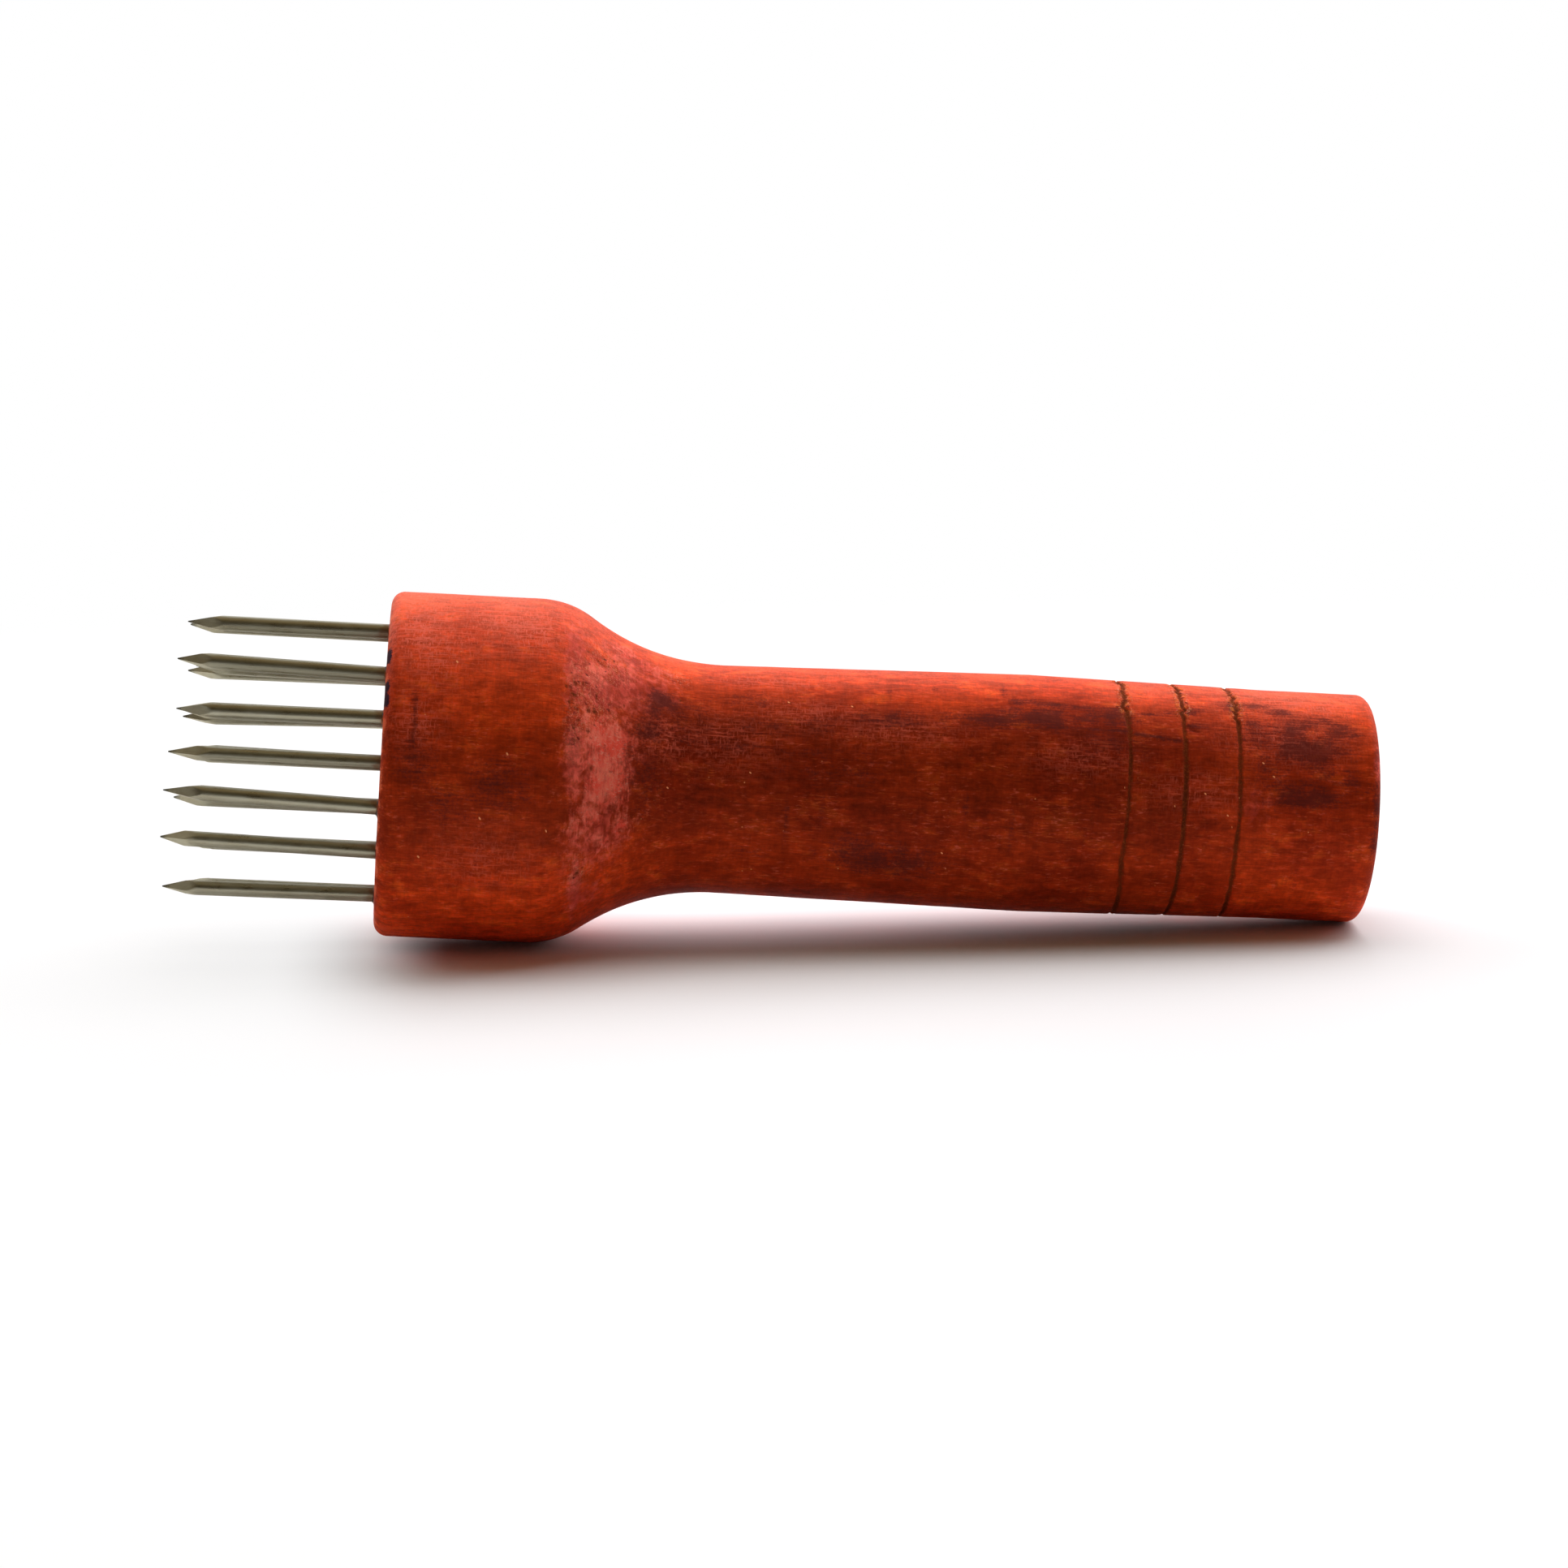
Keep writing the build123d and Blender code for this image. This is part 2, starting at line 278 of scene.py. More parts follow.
def surface_noise(rng, height, degrees, cell, around):
    """Smooth noise from -1 to 1 whose cells are `cell` long, with `around` of them round."""
    rows = int(LENGTH / cell) + 4
    grid = rng.uniform(-1.0, 1.0, (rows, around))
    down = np.clip(height / cell + 1.0, 0.0, rows - 1.001)
    across = degrees / 360.0 * around % around
    row, column = np.floor(down).astype(int), np.floor(across).astype(int) % around
    share = ramp(across - np.floor(across))
    after = (column + 1) % around
    near = blend(grid[row, column], grid[row, after], share)
    far = blend(grid[row + 1, column], grid[row + 1, after], share)
    return blend(near, far, ramp(down - np.floor(down)))


def spots(height, degrees, marks):
    """Soft spots from 0 to 1."""
    total = np.zeros_like(height + degrees)
    for along, around, half_along, half_around, strength in marks:
        off_round = turned_by(degrees, around) / half_around
        far = ((height - along) / half_along) ** 2 + off_round ** 2
        total = np.maximum(total, strength * np.exp(-SPOT_SOFTNESS * far))
    return total


def streaks(height, degrees, marks):
    """Soft streaks from 0 to 1, each from its start to its end."""
    total = np.zeros_like(height + degrees)
    for start, start_degrees, end, end_degrees, half, strength in marks:
        share = (height - start) / (end - start)
        middle = start_degrees + (end_degrees - start_degrees) * share
        inside = ramp(share, -0.06, 0.1) * (1 - ramp(share, 0.9, 1.06))
        streak = np.exp(-(turned_by(degrees, middle) / half) ** 2)
        total = np.maximum(total, strength * inside * streak)
    return total


# ---------- handle
COLUMNS = 320
OUTLINE_STEP = 0.02  # the outline is measured off in steps this long
RING_SPACING = 0.34
# Where the rings are closer: from, to and spacing.
CLOSER_RINGS = [(21.0, 34.0, 0.26), (-1.0, 2.0, 0.2), (LENGTH - 1.8, LENGTH + 1.0, 0.2)]
GROOVE_RINGS = (1.25, 0.095)  # to each side of a groove, and spacing


def arc(radius, height, size, turns):
    """Points on a circle about a place of the outline's plane."""
    return np.column_stack([radius + size * np.cos(turns), height + size * np.sin(turns)])


def outline_points():
    """The turned outline as close points, radius and height, with truly round edges."""
    head, neck = HEAD_DIAMETER / 2, NECK_DIAMETER / 2
    belly = neck + BELLY_RISE
    butt = belly - BUTT_FALL
    both = SHOULDER_RADIUS + HOLLOW_RADIUS
    turn = acos(1 - (head - neck) / both)
    neck_height = HEAD_BARREL + both * sin(turn)
    rise_length = LENGTH - BELLY_FROM_BUTT - neck_height
    to_belly = hypot(rise_length, HOLLOW_RADIUS - BELLY_RISE)
    rise_turn = asin(HOLLOW_RADIUS / to_belly) - atan2(HOLLOW_RADIUS - BELLY_RISE, rise_length)
    reach = HOLLOW_RADIUS * tan((turn + rise_turn) / 2)

    quarter = np.linspace(0.0, pi / 2, 50)
    face_edge = np.column_stack([
        head - HEAD_EDGE_RADIUS + HEAD_EDGE_RADIUS * np.sin(quarter),
        HEAD_EDGE_RADIUS - HEAD_EDGE_RADIUS * np.cos(quarter),
    ])
    bend = np.linspace(0.0, turn, 80)
    shoulder = arc(head - SHOULDER_RADIUS, HEAD_BARREL, SHOULDER_RADIUS, bend)
    start = shoulder[-1]
    meeting = start + np.array([-sin(turn), cos(turn)]) * reach
    end = meeting + np.array([sin(rise_turn), cos(rise_turn)]) * reach
    share = np.linspace(0.0, 1.0, 80)[:, None]
    hollow = (1 - share) ** 2 * start + 2 * share * (1 - share) * meeting + share ** 2 * end
    corners = [(belly, LENGTH - BELLY_FROM_BUTT), (butt, LENGTH - BUTT_BARREL)]
    size = BUTT_EDGE_RADIUS
    butt_edge = arc(butt - size, LENGTH - size, size, quarter)
    return np.vstack([face_edge, shoulder, hollow[1:], corners, butt_edge])


def ring_places():
    """Radius, height and outward direction of every ring."""
    outline = outline_points()
    run = np.concatenate([[0.0], np.cumsum(np.hypot(*np.diff(outline, axis=0).T))])
    fine = np.arange(0.0, run[-1], OUTLINE_STEP)
    radius, height = np.interp(fine, run, outline[:, 0]), np.interp(fine, run, outline[:, 1])
    spacing = np.full(len(fine), RING_SPACING)
    for start, end, closer in CLOSER_RINGS:
        spacing[(height > start) & (height < end)] = closer
    for from_butt in GROOVES_FROM_BUTT:
        spacing[np.abs(height - LENGTH + from_butt) < GROOVE_RINGS[0]] = GROOVE_RINGS[1]
    count = np.concatenate([[0.0], np.cumsum(OUTLINE_STEP / spacing[1:])])
    wanted = np.linspace(0.0, count[-1], int(count[-1]))
    at = np.interp(wanted, count, fine)
    along_radius, along_height = np.gradient(radius, fine), np.gradient(height, fine)
    outward = np.column_stack([
        np.interp(at, fine, along_height),
        -np.interp(at, fine, along_radius),
    ])
    outward /= np.linalg.norm(outward, axis=1)[:, None]
    return np.interp(at, fine, radius), np.interp(at, fine, height), outward


GROOVE_CELL = 50.0  # much longer than a groove is wide
GROOVE_WOBBLE = 0.07
TORN_WOBBLES = [(0.36, 96), (0.34, 160)]  # off its place, and waves round, where torn
GROOVE_HALF = (0.38, 0.11)  # half width, and how much it varies
GROOVE_STRENGTH = (0.8, 0.2)
CHIP_DEPTH = 0.15
DENT_RADIUS = 15.0  # the handle's, near enough for a dent's length


def groove_relief(rng, height, degrees, torn_side):
    """Depth of the three grooves, how much groove shows and where its edges are torn."""
    def wobble(around):
        return surface_noise(rng, np.full_like(degrees, from_butt), degrees, GROOVE_CELL, around)

    depth = shown = torn = np.zeros_like(height + degrees)
    for from_butt, wander in zip(GROOVES_FROM_BUTT, GROOVE_WANDER):
        places, offsets = zip(*wander)
        middle = LENGTH - from_butt + np.interp(degrees, places, offsets, period=360.0)
        middle = middle + GROOVE_WOBBLE * wobble(70)
        for reach, around in TORN_WOBBLES:
            middle = middle + reach * torn_side * wobble(around)
        off = np.abs(height - middle)
        half = GROOVE_HALF[0] + GROOVE_HALF[1] * wobble(60)
        strength = GROOVE_STRENGTH[0] + GROOVE_STRENGTH[1] * wobble(40)
        valley = np.clip(1.0 - off / half, 0.0, 1.0) ** 0.7
        chips = ramp(surface_noise(rng, height, degrees, 0.45, 130), 0.25, 0.7)
        chipped = torn_side * chips * (1 - ramp(off, 0.35, 0.95))
        cut = np.maximum(GROOVE_DEPTH * strength * valley, CHIP_DEPTH * chipped)
        depth = np.maximum(depth, cut)
        line = (1 - ramp(off, half * 0.2, half * 1.5)) * strength
        shown = np.maximum(shown, np.maximum(line, chipped * 0.6))
        torn = np.maximum(torn, torn_side * (1 - ramp(off, 0.5, 1.2)))
    return depth, shown, torn


def dent_relief(height, degrees, radius):
    """Depth of the short dents."""
    depth = np.zeros_like(height + degrees)
    for start, start_degrees, end, end_degrees, half, deep in DENTS:
        along = np.array([end - start, radians(end_degrees - start_degrees) * DENT_RADIUS])
        length = np.hypot(*along)
        off_height = height - start
        off_round = np.radians(turned_by(degrees, start_degrees)) * radius
        share = np.clip((off_height * along[0] + off_round * along[1]) / length ** 2, 0.0, 1.0)
        away = np.hypot(off_height - share * along[0], off_round - share * along[1])
        dent = deep * (1 - ramp(away, 0.0, half)) * (0.5 + 0.5 * np.sin(pi * share))
        depth = np.maximum(depth, dent)
    return depth


def tone_and_shade_round(height, degrees):
    """The factor of TONE_AND_SHADE_ROUND, which runs from head to grip and from grip to butt."""
    places, *factors = zip(*TONE_AND_SHADE_ROUND)
    head, grip, butt = (np.interp(degrees, places, factor, period=360.0) for factor in factors)
    before_butt = blend(head, grip, ramp(height, 24.0, 40.0))
    return blend(before_butt, butt, ramp(height, 98.0, 116.0))


SURFACE_TRIM = 0.05  # the displaced surface starts this far inside the CAD surface
HIGHEST_RELIEF = 0.03
OVAL, OVAL_TURN = 0.035, 40.0  # the wood has shrunk a little out of round
# Swells and ripples of the turned surface: reach, length of a cell and cells round.
SWELLS = [(0.045, 16.0, 9), (0.022, 5.0, 24), (0.012, 0.9, 14), (0.01, 8.0, 200)]
TORN_ROUGHNESS = 0.03
PIT_DEPTH = 0.14
RIM_CHIP_DEPTH = 0.1


def worked_surface(radius, height, degrees):
    """Relief of the turned surface in millimetres and the marks that its material reads."""
    rng = np.random.default_rng(SEED)

    def noise(cell, around):
        return surface_noise(rng, height, degrees, cell, around)

    def soft(marks):
        return spots(height, degrees, marks)

    torn_side = np.zeros_like(degrees)
    for middle, half in TORN_SIDES:
        away = np.abs(turned_by(degrees, middle))
        torn_side = np.maximum(torn_side, 1 - ramp(away, half - 6.0, half + 4.0))
    groove_depth, groove, groove_torn = groove_relief(rng, height, degrees, torn_side)
    torn = soft(TORN_SPOTS)
    pits = np.maximum(ramp(noise(0.5, 160), 0.55, 0.9) * torn, soft(PIT_SPOTS))
    out = OVAL * np.cos(np.radians(2 * degrees + OVAL_TURN))
    for reach, cell, around in SWELLS:
        out = out + reach * noise(cell, around)
    out = out + TORN_ROUGHNESS * torn * noise(0.8, 120)
    out = out - PIT_DEPTH * pits - groove_depth - dent_relief(height, degrees, radius)
    rim = 1 - ramp(height, 0.15, 0.75) + 0.4 * ramp(height, LENGTH - 0.9, LENGTH - 0.2)
    chips = rim * ramp(noise(0.6, 90), 0.35, 0.9)
    out = out - RIM_CHIP_DEPTH * chips
    ends = ramp(height, 0.0, 0.6) * (1 - ramp(height, LENGTH - 0.6, LENGTH))
    out = np.minimum(out, HIGHEST_RELIEF) * (0.15 + 0.85 * ends) - SURFACE_TRIM
    stained = np.maximum(soft(STAIN_SPOTS), streaks(height, degrees, STAIN_STREAKS))
    marks = {
        "stain": stained * np.clip(0.85 + 0.4 * noise(2.2, 36) + 0.25 * noise(0.9, 90), 0.0, 1.1),
        "scuff": soft(SCUFF_SPOTS),
        # rubbed wood, and a painted highlight on the butt's rim
        "rubbed": soft(RUBBED_AND_RIM_LIT_SPOTS),
        "hatch": soft(HATCH_SPOTS),
        "torn": np.maximum(torn, groove_torn),
        "ripped": np.maximum(groove_torn, 0.25 * torn),
        "groove": np.maximum(groove, 0.9 * pits),
        # a painted sheen on the upper side
        "pale_top_sheen": soft(SHEEN_SPOTS),
        "ink": soft(INK_SPOTS),
        # wear along the rims, partly a painted highlight
        "wear_and_highlight": np.clip(rim * (0.62 + 0.38 * noise(1.5, 130)) + 0.5 * chips, 0.0, 1.0),
        # partly painted light: shade on the front side, light on top and on the lower front
        "tone": tone_and_shade_round(height, degrees) * (1.0 + 0.06 * noise(18.0, 9)),
    }
    return out, marks


FACE_LEAN = 0.25  # the head's face is this much out of square at its rim
FACE_LEAN_DIES = 7.0  # from the face, along the barrel
FACE_PATCH = 0.8  # spacing of the points on the two end faces
FACE_PATCH_STRAY = 0.22
FACE_TRIM = 0.05
HOLE_SIDES = 32
SPECK_RADIUS = 16.0  # the handle's, near enough to find a speck's place


def face_height(x, y, phase):
    """The small hollows that the parting tool left on an end face, below zero."""
    away = np.hypot(x, y)
    rings = 0.018 * np.sin(away * 4.3 + phase) + 0.012 * np.sin(away * 9.1 + 2.0 * phase)
    swell = 0.02 * np.sin(0.31 * x + phase) * np.cos(0.27 * y - phase)
    return rings + swell - FACE_TRIM


def head_face_height(x, y):
    return -face_height(x, y, 0.7)


def butt_face_height(x, y):
    return LENGTH + face_height(x, y, 2.1)


def out_of_square(points):
    """Lean the head's face a little and let the lean die away along the barrel."""
    share = 1 - ramp(points[:, 2], 0.0, FACE_LEAN_DIES)
    points[:, 2] += FACE_LEAN * points[:, 0] / (HEAD_DIAMETER / 2) * share
    return points


def needle_seats():
    """Each needle's root, two cross directions and axis in the tool's frame, and its reach."""
    turn = radians(FIELD_TURN)
    upwards = Vector((cos(turn), -sin(turn), 0.0))
    forwards = Vector((sin(turn), cos(turn), 0.0))
    middle_row = (len(HAND_SET) - 1) / 2
    row_step = (HEAD_DIAMETER / 2 - FIELD_MARGIN) / hypot(middle_row, len(HAND_SET[0]) - 1)
    seats = []
    for row, needles in enumerate(HAND_SET):
        for place, (lean, extra) in enumerate(needles):
            root = upwards * (middle_row - row) * row_step
            root += forwards * (len(needles) - 1 - 2 * place) * row_step
            side = SIDE_LEAN * sin(len(seats) * SIDE_LEAN_STEP)
            axis = Vector((0, 0, 1)) - upwards * tan(radians(lean)) - forwards * tan(radians(side))
            axis.normalize()
            across = (upwards - axis * upwards.dot(axis)).normalized()
            first = Matrix.Rotation(radians(FACET_STEP * len(seats)), 3, axis) @ across
            vectors = [np.array(vector) for vector in (root, first, axis.cross(first), axis)]
            seats.append((*vectors, NEEDLE_REACH + extra))
    return seats


def end_face(side, rim_index, start_index, height_at, holes, outward, rng):
    """New points and triangles for one end face, whose rim is the side's. The new points are
    numbered from the start index."""
    rim = side[rim_index]
    reach = np.hypot(rim[:, 0], rim[:, 1]).min() - 0.3
    steps = np.arange(-reach, reach, FACE_PATCH)
    inner = np.stack(np.meshgrid(steps, steps), axis=-1).reshape(-1, 2)
    inner += rng.uniform(-FACE_PATCH_STRAY, FACE_PATCH_STRAY, inner.shape)
    inner = inner[np.hypot(inner[:, 0], inner[:, 1]) < reach - 0.2]
    middles = [hole.mean(axis=0) for hole in holes]
    for middle in middles:
        inner = inner[np.hypot(*(inner - middle).T) > NEEDLE_DIAMETER / 2 + 0.35]
    flat = np.vstack([rim[:, :2], *holes, inner])
    loops, start = [], 0
    for count in [len(rim)] + [len(hole) for hole in holes]:
        loops += [(start + k, start + (k + 1) % count) for k in range(count)]
        start += count
    coords = [Vector(point) for point in flat]
    made, _, triangles, origins, _, _ = delaunay_2d_cdt(coords, loops, [], 1, 1e-5)
    if len(made) != len(coords):
        raise ValueError("points of an end face ran together")
    order = [origin[0] for origin in origins]
    faces = []
    for triangle in triangles:
        corners = [order[k] for k in triangle]
        a, b, c = flat[corners]
        centre = flat[corners].mean(axis=0)
        if any(np.hypot(*(centre - middle)) < NEEDLE_DIAMETER * 0.45 for middle in middles):
            continue
        upward = (b[0] - a[0]) * (c[1] - a[1]) - (b[1] - a[1]) * (c[0] - a[0]) > 0
        faces.append(corners if upward == outward else corners[::-1])
    new = flat[len(rim):]
    index = np.concatenate([rim_index, start_index + np.arange(len(new))])
    return np.column_stack([new, height_at(*new.T)]), index[np.array(faces)].tolist()


def make_handle(wood):
    """The turned handle: its worked side, its two end faces and the needles' blind holes."""
    radius, height, outward = ring_places()
    degrees = np.arange(COLUMNS) * 360.0 / COLUMNS
    relief, marks = worked_surface(radius[:, None], height[:, None], degrees[None, :])
    across = radius[:, None] + relief * outward[:, :1]
    along = height[:, None] + relief * outward[:, 1:]
    x, y = across * np.cos(np.radians(degrees)), across * np.sin(np.radians(degrees))
    side = np.column_stack([x.ravel(), y.ravel(), along.ravel()])
    index = np.arange(len(side)).reshape(len(radius), COLUMNS)
    faces = ring_faces(index)

    rng = np.random.default_rng(SEED + 1)
    turns = np.linspace(0.0, 2 * pi, HOLE_SIDES, endpoint=False)
    hole_radius = NEEDLE_DIAMETER / 2 + GLUE_FILM
    mouths, bottoms = [], []
    for root, first, second, axis, _ in needle_seats():
        circle = root + hole_radius * round_axis(turns, first, second)
        drop = (head_face_height(*circle[:, :2].T) - circle[:, 2]) / axis[2]
        mouths.append((circle + drop[:, None] * axis)[:, :2])
        bottoms.append(np.vstack([circle + NEEDLE_SEAT * axis, root + NEEDLE_SEAT * axis]))

    start = len(side)
    head, head_faces = end_face(side, index[0], start, head_face_height, mouths, False, rng)
    start += len(head)
    butt, butt_faces = end_face(side, index[-1], start, butt_face_height, [], True, rng)
    start += len(butt)
    faces += head_faces + butt_faces
    for hole in range(len(bottoms)):
        mouth = len(side) + hole * HOLE_SIDES
        for k in range(HOLE_SIDES):
            after = (k + 1) % HOLE_SIDES
            faces.append((mouth + k, start + k, start + after, mouth + after))
            faces.append((start + HOLE_SIDES, start + after, start + k))
        start += HOLE_SIDES + 1
    points = out_of_square(np.vstack([side, head, butt, *bottoms]))

    others = np.zeros(len(points) - len(side))
    marks["speck"] = specks(points[:len(side)])
    marks = {key: np.append(np.ravel(values), others) for key, values in marks.items()}
    marks["end_grain"] = np.ones(len(points))
    marks["end_grain"][index[1:-1]] = 0.0
    piece = make_piece("turned_handle", points, faces, wood, marks)
    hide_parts("handle")


def specks(side):
    """1 at the side's point nearest to each pale speck."""
    marks = np.zeros(len(side))
    around = np.degrees(np.arctan2(side[:, 1], side[:, 0]))
    for along, degrees in SPECKS:
        off_round = np.radians(turned_by(around, degrees)) * SPECK_RADIUS
        marks[np.argmin(np.hypot(side[:, 2] - along, off_round))] = 1.0
    return marks


# ---------- needles and glue
NEEDLE_COLUMNS = 48
NEEDLE_TRIM = 0.012
WIRE_WAVER = 0.0006  # from ring to ring
WIRE_OVAL = 0.004
POINT_LENGTH = 4.5  # a little longer and slimmer than the CAD's point, so inside it
LONG_POINTS = {10: 5.4, 13: 5.0}
POINT_EDGE_DEGREES = 9.5


def make_needle(number, seat, steel):
    """One needle: drawn wire with a pinched, four-faced point and a blunt end in its hole."""
    root, first, second, axis, reach = seat
    rng = np.random.default_rng(SEED * 100 + number)
    point = LONG_POINTS.get(number, POINT_LENGTH)
    from_tip = np.concatenate([
        0.015 + (point + 0.3) * np.linspace(0.0, 1.0, 24) ** 1.15,
        np.linspace(point + 0.9, reach - 0.4, 30),
        [reach + 0.3, reach + 6.0, reach + 13.0, reach + NEEDLE_SEAT - 0.02],
    ])
    turns = np.linspace(0.0, 2 * pi, NEEDLE_COLUMNS, endpoint=False)
    full, tip = NEEDLE_DIAMETER / 2, NEEDLE_TIP_WIDTH / 2
    half = tip + (full - tip) * from_tip / point
    faceted = half[:, None] / np.maximum(np.abs(np.cos(turns)), np.abs(np.sin(turns)))
    drawn = full - NEEDLE_TRIM + rng.normal(0.0, WIRE_WAVER, (len(from_tip), 1))
    drawn = drawn + WIRE_OVAL * np.cos(2 * turns + rng.uniform(0, 6))
    wide = np.minimum(faceted, drawn)
    points = root + (from_tip - reach)[:, None, None] * axis
    points = points + wide[:, :, None] * round_axis(turns, first, second)
    index = np.arange(wide.size).reshape(wide.shape)
    faces = ring_faces(index) + [index[0][::-1].tolist(), index[-1].tolist()]
    own_places = np.stack([
        wide * np.cos(turns) + 7.0 * number,
        wide * np.sin(turns),
        np.repeat(from_tip[:, None], NEEDLE_COLUMNS, axis=1),
    ], axis=-1)
    marks = {
        "from_tip": np.repeat(from_tip, NEEDLE_COLUMNS),
        "from_face": np.repeat(reach - from_tip, NEEDLE_COLUMNS),
    }
    piece = make_piece(
        f"pointed_needle_{number:02d}", points.reshape(-1, 3), faces, steel, marks,
        POINT_EDGE_DEGREES, own_places.reshape(-1, 3),
    )
    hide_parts(f"needle_{number:02d}")


# Half section of a glue bead: distance from the needle's axis and height outside the face.
BEAD_SECTION = [
    (0.992, 0.26), (1.07, 0.12), (1.22, 0.02), (1.45, -0.06), (1.45, -0.14), (0.992, -0.14),
]
BEAD_SIDES = 24
BEAD_HIGHEST = 1.3
# Needles whose glue ran: number, degrees round the needle and how far it ran.
GLUE_RUNS = {
    3: (300, 0.5), 5: (90, 0.9), 8: (60, 0.5), 13: (100, 1.4), 18: (110, 1.1), 20: (200, 0.7),
}
GLUE_RUN_WIDTH = 34.0
BEAD_EDGE_DEGREES = 40.0


def make_glue(glue):
    """A bead of glue round each needle's root, all of them one piece."""
    rng = np.random.default_rng(SEED + 7)
    turns = np.linspace(0.0, 2 * pi, BEAD_SIDES, endpoint=False)
    section = np.array(BEAD_SECTION)
    inner = section[0, 0]
    points, faces = [], []
    for number, (root, first, second, axis, _) in enumerate(needle_seats(), start=1):
        sizes = 0.75 + 0.22 * np.sin(turns + rng.uniform(0, 6))
        sizes = sizes + 0.12 * np.sin(3 * turns + rng.uniform(0, 6))
        middle, run = GLUE_RUNS.get(number, (0, 0.0))
        off = turned_by(np.degrees(turns), middle) / GLUE_RUN_WIDTH
        sizes = sizes + run * np.exp(-(off ** 2))
        out = inner + (section[:, :1] - inner) * sizes[None, :]
        above = section[:, 1:] > 0
        lift = section[:, 1:] * np.where(above, np.minimum(sizes, BEAD_HIGHEST)[None, :], 1.0)
        bead = root + out[:, :, None] * round_axis(turns, first, second)
        face = head_face_height(bead[:, :, 0], bead[:, :, 1])
        bead = bead + (face - lift - bead[:, :, 2])[:, :, None] * axis
        index = len(points) * lift.size + np.arange(lift.size).reshape(lift.shape)
        points.append(bead)
        below = np.roll(index, -1, axis=0)
        corners = [index, below, np.roll(below, -1, axis=1), np.roll(index, -1, axis=1)]
        faces += np.stack(corners, axis=-1).reshape(-1, 4).tolist()
    points = out_of_square(np.array(points).reshape(-1, 3))
    make_piece("root_glue", points, faces, glue, None, BEAD_EDGE_DEGREES)


# ---------- node trees
class Nodes:
    """Short calls for building one node tree."""

    def __init__(self, tree):
        self.tree = tree
        tree.nodes.clear()

    def add(self, kind, inputs=None, **settings):
        """The outputs of a new node. An input is a number, a colour or another node's output."""
        node = self.tree.nodes.new(kind)
        for name, value in settings.items():
            setattr(node, name, value)
        for name, value in (inputs or {}).items():
            socket = node.inputs[name]
            if isinstance(value, bpy.types.NodeSocket):
                self.tree.links.new(value, socket)
            else:
                socket.default_value = (*value, 1.0) if socket.type == "RGBA" else value
        return node.outputs

    def math(self, operation, *values):
        return self.add("ShaderNodeMath", dict(enumerate(values)), operation=operation)[0]

    plus = partialmethod(math, "ADD")
    times = partialmethod(math, "MULTIPLY")
    most = partialmethod(math, "MAXIMUM")

    def vector(self, operation, *values):
        return self.add("ShaderNodeVectorMath", dict(enumerate(values)), operation=operation)

    def mark(self, name):
        return self.add("ShaderNodeAttribute", attribute_name=name)["Fac"]

    def place(self, across=1.0, along=1.0):
        """The piece's own coordinates in millimetres, scaled across and along its axis."""
        where = self.add("ShaderNodeAttribute", attribute_name="place")["Vector"]
        return self.vector("MULTIPLY", where, (across, across, along))[0]

    def noise(self, vector, scale, detail, roughness, distortion=0.0):
        sizes = {"Scale": scale, "Detail": detail, "Roughness": roughness, "Distortion": distortion}
        return self.add("ShaderNodeTexNoise", {"Vector": vector, **sizes})[0]

    def grain(self, across, along, detail=3.0, roughness=0.6, distortion=0.0):
        """Noise with a scale of its own across and along the piece."""
        return self.noise(self.place(across, along), 1.0, detail, roughness, distortion)

    def cells(self, across, along):
        """Distance to the nearest of many scattered points."""
        inputs = {"Vector": self.place(across, along), "Scale": 1.0}
        return self.add("ShaderNodeTexVoronoi", inputs)["Distance"]

    def levels(self, value, low, high, to_low=0.0, to_high=1.0):
        """value's stretch from low to high, as a smooth run from to_low to to_high."""
        inputs = {0: value, "From Min": low, "From Max": high, "To Min": to_low, "To Max": to_high}
        return self.add("ShaderNodeMapRange", inputs, interpolation_type="SMOOTHSTEP")[0]

    def swayed(self, value, noise, reach, low=0.3):
        """value with the noise added, as far as its reach either way."""
        return self.plus(value, self.levels(noise, low, 1.0 - low, -reach, reach))

    def mix(self, factor, first, second):
        return self.add("ShaderNodeMix", {0: factor, 6: first, 7: second}, data_type="RGBA")[2]

    def painted(self, tone, mask, strength, colour):
        """tone with the colour laid over it by the mask."""
        return self.mix(self.times(mask, strength), tone, colour)

    def shaded(self, colour, factor):
        return self.add("ShaderNodeVectorMath", {0: colour, "Scale": factor}, operation="SCALE")[0]

    def bump(self, height, distance, strength):
        inputs = {"Height": height, "Distance": distance, "Strength": strength}
        return self.add("ShaderNodeBump", inputs)[0]

    def surface(self, kind, inputs):
        """A shader of this kind as the material's surface."""
        self.add("ShaderNodeOutputMaterial", {"Surface": self.add(kind, inputs)[0]})


def new_material(name):
    material = bpy.data.materials.new(name)
    material.use_nodes = True
    return material, Nodes(material.node_tree)


WHITE = (1.0, 1.0, 1.0)

# The wood's colours.
DEEP_RED, BRIGHT_RED = (0.56, 0.04, 0.0065), (0.76, 0.062, 0.009)
ORANGE = (0.88, 0.105, 0.013)
BRIGHT_FIBRE = (0.92, 0.155, 0.04)
SHEEN_PINK = (1.0, 0.215, 0.125)
PINK_FLECK = (0.88, 0.155, 0.1)
DULL_ROSE, ROSE = (0.56, 0.062, 0.044), (0.92, 0.15, 0.11)
SCUFF_RED, SCUFF_PINK = (0.97, 0.098, 0.06), (1.0, 0.18, 0.118)
SCUFF_GLINT = (1.0, 0.33, 0.25)
PURPLE_STAIN = (0.115, 0.019, 0.0175)
TORN_STRAND = (1.0, 0.42, 0.25)
RIPPED_ORANGE = (1.0, 0.25, 0.03)
OPEN_HOLE = (0.14, 0.016, 0.008)
